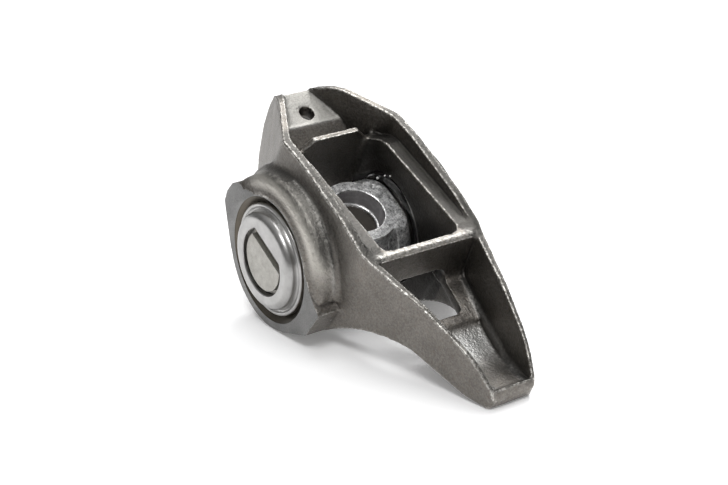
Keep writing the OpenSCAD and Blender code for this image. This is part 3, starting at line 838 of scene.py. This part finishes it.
def cutAcross(bm, side, depth, **cleared):
    # one flat cut square to the pivot axis, closed again
    cut = bmesh.ops.bisect_plane(bm, geom=bm.verts[:] + bm.edges[:] + bm.faces[:],
                                 plane_co=(0, side * depth * mm, 0), plane_no=(0, side, 0), **cleared)
    bmesh.ops.contextual_create(bm, geom=[e for e in cut["geom_cut"] if isinstance(e, bmesh.types.BMEdge)])


def backInto(piece, bm):
    bmesh.ops.triangulate(bm, faces=bm.faces)
    bmesh.ops.recalc_face_normals(bm, faces=bm.faces)
    bm.to_mesh(piece.data)
    bm.free()


def keepMiddle(piece, depth):
    bm = bmesh.new()
    bm.from_mesh(piece.data)
    for side in (-1, 1):
        cutAcross(bm, side, depth, clear_outer=True)
    backInto(piece, bm)


def keepEnds(piece, depth):
    whole, ends = bmesh.new(), bmesh.new()
    whole.from_mesh(piece.data)
    for side in (-1, 1):
        end = whole.copy()
        cutAcross(end, side, depth, clear_inner=True)
        mesh = bpy.data.meshes.new("end")
        end.to_mesh(mesh)
        end.free()
        ends.from_mesh(mesh)
        bpy.data.meshes.remove(mesh)
    whole.free()
    backInto(piece, ends)


def knock(level, spot, half):
    # 1 at the spot, and next to nothing past twice the half width
    return np.exp(-(np.linalg.norm(level - spot, axis=1) / half) ** 2)


def forgeTrunnion():
    # the block between the shoulders: its hole still small, lumpy on its flanks, dented and knocked
    k = forging
    block = meshCopy("trunnion", "trunnionForged")
    keepMiddle(block, k["shoulderEnd"] + k["endStock"])
    level = levelCoords(meshPoints(block.data))
    inHole = np.hypot(level[:, 0], level[:, 1]) < k["counterbore"] + 0.05
    drawTo(level, [0, 1], inHole, k["boltHole"] - k["holeStock"])
    setPoints(block.data, restCoords(level))
    voxelSkin(block, k["voxel"])
    edges = meshEdges(block.data)
    co = softened(meshPoints(block.data), edges, k["softening"])
    co = calmed(co, edges, k["calming"], *k["facets"])
    setPoints(block.data, co)
    normals = pointNormals(block.data)
    level = levelCoords(co)
    depth = np.abs(level[:, 1])
    inner = wane(depth, k["shoulderEnd"] - 0.6, k["shoulderEnd"] - 0.02)
    flank = fade(depth, 4.0, 6.0) * 0.8 + 0.2
    lump = unevenness(co, k["lumpLength"], (3, 9, 5)) * k["lumps"] * flank
    grain = unevenness(co, k["grainLength"]) * k["grains"]
    co = co + normals * ((lump + grain) * inner * mm)[:, None]
    for height, half, spot in k["dents"]:
        co = co + normals * (height * knock(level, spot, half) * mm)[:, None]
    setPoints(block.data, co)
    thinOut(block, k["keep"])
    return block


def turnedAboutBolt(profile, turns):
    verts, faces = lathe(profile, turns, 1)
    points = np.array(verts) / mm
    level = points[:, [0, 2, 1]]     # the pivot axis becomes the bolt's
    return restCoords(level), faces


def rounding(radius, depth, size, steps):
    # a quarter turn from a wall out to a face
    turns = np.linspace(0, math.pi / 2, steps)
    return [(radius + size * (1 - math.cos(a)), depth - size * (1 - math.sin(a))) for a in turns]


def drill(block):
    # the bolt hole with its counterbore, and bright turned edges
    k = forging
    top, bottom = k["seatFlat"], -k["seatFlat"]
    c, d = k["mouthChamfer"], k["innerRound"]
    bolt, wide, edge = k["boltHole"], k["counterbore"], k["boltEdge"]
    step = top - k["counterboreDepth"]
    turns, past = 128, 2
    below = [(0, bottom - past), (bolt + edge + past, bottom - past)]
    below += [(bolt + edge, bottom), (bolt, bottom + edge)]
    inner, mouth = rounding(bolt, step, d, 6), rounding(wide, top, c, 4)
    profile = [*below, *inner, *mouth, (wide + c + 0.01, top + past), (0, top + past)]
    cutter = newPiece("drilling", *turnedAboutBolt(profile, turns))
    dress(cutter, holeMetal, ringMetal)
    innerFrom, mouthFrom = len(below), len(below) + len(inner)
    bright = {*range(innerFrom, mouthFrom - 1), *range(mouthFrom, mouthFrom + len(mouth) - 1)}
    for i, face in enumerate(cutter.data.polygons):
        face.material_index = 1 if i // turns in bright else 0
    outward(cutter)
    cutWith(block, cutter)


def fitJournals(block):
    # the ground journals and the D-shaped ends, from another copy of the solid
    k = forging
    journals = meshCopy("trunnion", "journals")
    keepEnds(journals, k["shoulderEnd"] - k["journalLap"])
    level = levelCoords(meshPoints(journals.data))
    inBlock = np.abs(level[:, 1]) < k["shoulderEnd"] + 0.01
    drawTo(level, [0, 2], inBlock & (pivotRadius(level) > k["journal"]), k["journal"])
    setPoints(journals.data, restCoords(level))
    dress(journals, endMetal)
    cutWith(block, journals, "UNION")


def markEdges(piece):
    # wear along the edges of the forging, and painted highlights on its knocks
    mesh = piece.data
    co = meshPoints(mesh)
    level = levelCoords(co)
    swell = swelling(co, meshEdges(mesh), pointNormals(mesh), 5)
    # the raised knocks are painted bright as highlights
    knocks = sum(knock(level, spot, half) for height, half, spot in forging["dents"] if height > 0)
    paint(mesh, "wearAndHighlight", np.clip(0.8 * fade(swell, 0.03, 0.11) + knocks, 0, 1))


holeMetal = drilledSteel()
shaft = forgeTrunnion()
dress(shaft, forgedMetal)
drill(shaft)
fitJournals(shaft)
markEdges(shaft)
softShade(shaft, 35)
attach(shaft, "trunnion")
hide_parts("trunnion")
print("trunnion forged and drilled:", len(shaft.data.polygons), "faces")


cups = {
    "radius": 10.5,
    "innerEnd": 8.66,           # depths from the pivot centre
    "raceEnd": 16.32,
    "rim": 17.1,
    "end": 18.8,
    "innerRound": 0.45,
    "rimRound": 0.42,
    "groove": ((9.52, 16.78), (9.40, 16.76), (9.28, 16.86), (9.18, 17.12)),     # from rim to crown
    "crown": (7.75, 17.45, 1.35),       # centre and radius of the crown's rounding
    "wall": 1.03,
    "lipWall": 0.7,
    "shoulder": 7.73,           # where the race slopes in to the end wall
    "race": 9.47,
    "lipRadius": 7.7,
    "facets": 240,
    "dHole": (6.25, 4.45),      # radius and flat of the D-shaped hole
    "dHoleEdge": 0.16,
    "dHoleDepth": 2.5,
}


def arcPoints(centre, radius, start, stop, steps):
    turns = np.radians(np.linspace(start, stop, steps))
    return [(centre[0] + radius * math.cos(a), centre[1] + radius * math.sin(a)) for a in turns]


def dOutline(radius, flat, steps=72):
    start = math.asin(flat / radius)
    turns = np.linspace(start, -math.pi - start, steps)
    return [(radius * math.cos(a), radius * math.sin(a)) for a in turns]


def dHoleTool(side):
    # cuts the D-shaped hole and breaks its edge
    k = cups
    radius, flat = k["dHole"]
    end, edge, past = k["end"], k["dHoleEdge"], 0.4
    steps = ((end - k["dHoleDepth"], 0), (end - edge, 0), (end + past, edge + past))
    outlines = [[(x, side * y, z) for x, z in dOutline(radius + d, flat + d)] for y, d in steps]
    n = len(outlines[0])
    faces = [list(range(n)), list(range(2 * n, 3 * n))]
    for start in (0, n):
        for i in range(n):
            a, b = start + i, start + (i + 1) % n
            faces.append([a, b, b + n, a + n])
    tool = newPiece("dHole", restCoords(np.array(outlines).reshape(-1, 3)), faces)
    outward(tool)
    return tool


def makeCup(side, name):
    k = cups
    r, lip, rim = k["radius"], k["innerRound"], k["rimRound"]
    cx, cy, cr = k["crown"]
    outside = [*arcPoints((r - lip, k["innerEnd"] + lip), lip, -90, 0, 8),
               *arcPoints((r - rim, k["rim"] - rim), rim, 0, 150, 12), *k["groove"],
               *arcPoints((cx, cy), cr, 5, 90, 16), (0, k["end"])]
    endWall, lipFace = k["end"] - k["wall"], k["innerEnd"] + k["lipWall"]
    inside = [(0, endWall), (k["shoulder"], endWall), (k["race"], k["raceEnd"]), (k["race"], lipFace),
              (k["lipRadius"], lipFace), (k["lipRadius"], k["innerEnd"])]
    cup = newPiece(name, *lathe(inside + outside, k["facets"], side))
    outward(cup)
    cutWith(cup, dHoleTool(side))
    dress(cup, cupMetal)
    softShade(cup, 40)
    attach(cup, "arm")
    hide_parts(name.replace("cup", "bearing_cup"))
    print(name, len(cup.data.polygons), "faces")


makeCup(-1, "cup_near")
makeCup(1, "cup_far")


grease = {
    "from": 8.35,           # inner radius of the smear on a cup's lip, and its outer one
    "to": 9.9,
    "stepDown": (9.9, 10.7),        # radii over which it drops from the lip to the wall, a dark band over the gap that also stands in for its shadow
    "spread": 1.2,          # how much farther it reaches at the top
    "thin": 0.16,
    "thick": 0.42,          # added at the top
    "topTurn": 96,          # degrees about the pivot, and the half width of the top
    "topWidth": 30,
    "facets": 240,
    "steps": 14,
    "glintBeads": (            # turn, radius, depth and size of each
        (99.7, 9.7, 7.98, 0.26), (86.6, 10.7, 8.05, 0.19), (78.8, 11.3, 8.12, 0.17),
    ),
}


def greaseSection(side, turn):
    # one cut through the smear: radius and depth points
    k = grease
    a = math.radians(turn)
    lip, wall = cups["innerEnd"], casting["boreStart"]
    top = math.exp(-((turn - k["topTurn"]) / k["topWidth"]) ** 2)
    ripple = 0.5 + noise.noise(Vector((math.cos(a) * 2.5, side, math.sin(a) * 2.5)))
    outer = k["to"] + k["spread"] * top
    high = k["thin"] * (0.6 + 0.8 * ripple) + k["thick"] * top
    section = []
    for j in range(k["steps"] + 1):
        t = j / k["steps"]
        r = k["from"] + (outer - k["from"]) * t
        # past the lip the smear drops over the gap to the wall, grease that also stands in for the gap's
        # shadow
        ground = lip - (lip - wall) * float(fade(np.array(r), *k["stepDown"]))
        section.append((r, ground + 0.02 - high * math.sin(math.pi * t) ** 0.7))
    return section + [(outer, lip + 0.05), (k["from"], lip + 0.05)]


def makeGrease(side, name):
    # a smear round the lip that swells at the top and reaches over to the wall as painted shade over the gap,
    # with pale beads as painted glints
    k = grease
    turns, n = k["facets"], k["steps"] + 3
    verts, faces = [], []
    for i in range(turns):
        turn = 360 * i / turns
        verts += [aboutPivot(r, side * y, math.radians(turn)) for r, y in greaseSection(side, turn)]
        a, b = i * n, (i + 1) % turns * n
        faces += [[a + j, b + j, b + (j + 1) % n, a + (j + 1) % n] for j in range(n)]
    smear = newPiece(name, verts, faces)
    dress(smear, greaseMatter, glintMatter)
    bm = bmesh.new()
    bm.from_mesh(smear.data)
    # pale beads on the smear, painted glints
    for turn, r, y, size in k["glintBeads"]:
        spot = Matrix.Translation(aboutPivot(r, side * y, math.radians(turn)))
        made = bmesh.ops.create_icosphere(bm, subdivisions=3, radius=size * mm, matrix=spot)
        for face in {f for v in made["verts"] for f in v.link_faces}:
            face.material_index = 1
    bm.to_mesh(smear.data)
    bm.free()
    outward(smear)
    softShade(smear, 50)
    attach(smear, "arm")
    print(name, len(smear.data.polygons), "faces")


makeGrease(-1, "grease_and_gap_shade_near")
makeGrease(1, "grease_and_gap_shade_far")


needles = {
    "radius": 1.2,
    "crown": 0.35,      # rounding at each end
    "facets": 20,       # round a needle
    "sections": 41,     # along it
}


def needleTree():
    # one bearing's needles: a ring of points about the pivot axis, each with a crowned roller
    tree = bpy.data.node_groups.new("needleRing", "GeometryNodeTree")
    usual = (("Needles", "Int", 21), ("Pitch radius", "Float", 0.008), ("Needle radius", "Float", 0.0012),
             ("Length", "Float", 0.0067), ("Crown", "Float", 0.00035), ("Depth", "Float", 0.0128),
             ("First turn", "Float", 0.0))
    for name, kind, value in usual:
        tree.interface.new_socket(name, in_out="INPUT", socket_type="NodeSocket" + kind).default_value = value
    tree.interface.new_socket("Metal", in_out="INPUT", socket_type="NodeSocketMaterial")
    tree.interface.new_socket("Geometry", in_out="OUTPUT", socket_type="NodeSocketGeometry")
    given = tree.nodes.new("NodeGroupInput").outputs

    def add(kind, inputs, out=0, **settings):
        return addNode(tree, kind, inputs, **settings).outputs[out]

    def calc(operation, a, b=None):
        return add("ShaderNodeMath", {0: a, 1: b}, operation=operation)

    def vector(x, y, z):
        return add("ShaderNodeCombineXYZ", {0: x, 1: y, 2: z})

    half = calc("MULTIPLY", given["Length"], 0.5)
    ends = {"Start": vector(0, calc("MULTIPLY", half, -1), 0), "End": vector(0, half, 0)}
    line = add("GeometryNodeCurvePrimitiveLine", ends)
    points = add("GeometryNodeResampleCurve", {"Curve": line, "Count": needles["sections"]})
    along = add("ShaderNodeSeparateXYZ", {0: add("GeometryNodeInputPosition", {})}, out="Y")
    toEnd = calc("SUBTRACT", half, calc("ABSOLUTE", along))
    share = calc("MINIMUM", calc("DIVIDE", toEnd, given["Crown"]), 1.0)     # 0 at an end, 1 past the crown
    drop = calc("SUBTRACT", 1.0, share)
    fall = calc("SUBTRACT", 1.0, calc("SQRT", calc("SUBTRACT", 1.0, calc("MULTIPLY", drop, drop))))
    radius = calc("SUBTRACT", given["Needle radius"], calc("MULTIPLY", fall, given["Crown"]))
    circle = add("GeometryNodeCurvePrimitiveCircle", {"Resolution": needles["facets"], "Radius": 1.0})
    roller = add("GeometryNodeCurveToMesh", {"Curve": points, "Profile Curve": circle, "Scale": radius,
                                             "Fill Caps": True})
    ring = add("GeometryNodeMeshCircle", {"Vertices": given["Needles"], "Radius": given["Pitch radius"]})
    stood = add("GeometryNodeTransform", {"Geometry": ring, "Translation": vector(0, given["Depth"], 0),
                                          "Rotation": vector(math.pi / 2, given["First turn"], 0)})
    copies = add("GeometryNodeInstanceOnPoints", {"Points": stood, "Instance": roller})
    real = add("GeometryNodeRealizeInstances", {0: copies})
    smooth = add("GeometryNodeSetShadeSmooth", {0: real})
    dressed = add("GeometryNodeSetMaterial", {"Geometry": smooth, "Material": given["Metal"]})
    addNode(tree, "NodeGroupOutput", {0: dressed})
    return tree


def makeNeedles(tree, side):
    names = sorted(x for x in frame["nodes"] if x.startswith("needle_" + side))
    low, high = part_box("needle_" + side + "_1")
    middle = (low + high) / 2
    piece = newPiece("needles_" + side, [], [])
    ring = piece.modifiers.new("ring", "NODES")
    ring.node_group = tree
    values = {"Needles": len(names), "Pitch radius": math.hypot(middle.x, middle.z),
              "Needle radius": needles["radius"] * mm, "Length": high.y - low.y,
              "Crown": needles["crown"] * mm, "Depth": middle.y,
              "First turn": -math.atan2(middle.z, middle.x), "Metal": needleMetal}
    for item in tree.interface.items_tree:
        if item.name in values:
            ring[item.identifier] = values[item.name]
    applyModifiers(piece)
    outward(piece)
    softShade(piece, 40)
    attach(piece, "needles_" + side)
    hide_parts(*names)
    print("needles", side, len(piece.data.polygons), "faces")


ringTree = needleTree()
for sideName in ("near", "far"):
    makeNeedles(ringTree, sideName)


studio = {
    "floorColour": (0.93, 0.93, 0.935),
    "floorSize": 3.0,
    "floorGlow": 0.16,          # lifts the seen floor to the white of the backdrop
    "skyLight": 0.55,           # overhead part of the surroundings
    "sideLight": 0.20,
    "skyRise": (0.25, 0.85),    # heights between which the one turns into the other
    "aim": (0.01, 0, 0),        # what the lamps point at
    "lamps": {                  # power, width, height, share of its light on matt things, place
        "overheadLamp": (2.7, 0.40, 0.40, 1.0, (-0.04, 0.12, 0.95)),
        "backLamp": (4.6, 0.45, 0.30, 0.30, (-0.370, 0.441, 0.639)),
        "frontLamp": (2.5, 0.24, 0.24, 0.6, (0.370, -0.231, 0.671)),
    },
}


def seenOrMirrored(s):
    # 1 for what the camera sees, straight or in metal
    path = s.add("ShaderNodeLightPath", {})
    total = path.outputs["Is Camera Ray"]
    for name in ("Is Glossy Ray", "Is Transmission Ray"):
        both = {0: total, 1: path.outputs[name]}
        total = s.add("ShaderNodeMath", both, operation="ADD", use_clamp=True).outputs[0]
    return total


def makeFloor():
    half = studio["floorSize"] / 2
    z = cadLow.z
    corners = [(-half, -half, z), (half, -half, z), (half, half, z), (-half, half, z)]
    floor = newPiece("floor", corners, [[0, 1, 2, 3]])
    s = Shader("paleFloor", Base_Color=(*studio["floorColour"], 1), Roughness=0.9,
               Specular_IOR_Level=0.1, Emission_Color=(1, 1, 1, 1))
    s.into(s.times(seenOrMirrored(s), studio["floorGlow"]), "Emission Strength")
    dress(floor, s.material)


def makeWorld():
    # darker round the sides than overhead, as in a light tent
    world = bpy.data.worlds.new("studio")
    bpy.context.scene.world = world
    world.use_nodes = True
    tree = world.node_tree
    back = tree.nodes["Background"]
    back.inputs["Color"].default_value = (1, 1, 1, 1)
    coords = addNode(tree, "ShaderNodeTexCoord", {})
    split = addNode(tree, "ShaderNodeSeparateXYZ", {0: coords.outputs["Generated"]})
    low, high = studio["skyRise"]
    rise = addNode(tree, "ShaderNodeMapRange", {
        "Value": split.outputs["Z"], "From Min": low, "From Max": high,
        "To Min": studio["sideLight"], "To Max": studio["skyLight"],
    }, interpolation_type="SMOOTHSTEP")
    tree.links.new(rise.outputs["Result"], back.inputs["Strength"])


def makeLamp(name, power, width, height, mattShare, place):
    lamp = bpy.data.lights.new(name, "AREA")
    lamp.shape = "RECTANGLE"
    lamp.energy = power
    lamp.size = width
    lamp.size_y = height
    lamp.diffuse_factor = mattShare
    thing = placed(name, lamp)
    thing.location = place
    thing.rotation_mode = "QUATERNION"
    thing.rotation_quaternion = (Vector(studio["aim"]) - Vector(place)).to_track_quat("-Z", "Y")


camera = {
    "place": (237.676, -159.553, 121.221),      # millimetres
    "turn": (66.8927, 0.5854, 55.2746),         # degrees
    "lens": 83.255,
}


def makeCamera():
    data = bpy.data.cameras.new("camera")
    data.lens = camera["lens"]
    data.clip_start = 0.01
    data.clip_end = 20
    thing = placed("camera", data)
    thing.location = Vector(camera["place"]) * mm
    thing.rotation_euler = [math.radians(v) for v in camera["turn"]]
    bpy.context.scene.camera = thing


makeFloor()
makeWorld()
for lampName, values in studio["lamps"].items():
    makeLamp(lampName, *values)
makeCamera()
bpy.context.scene.view_settings.view_transform = "Standard"
print("studio set")
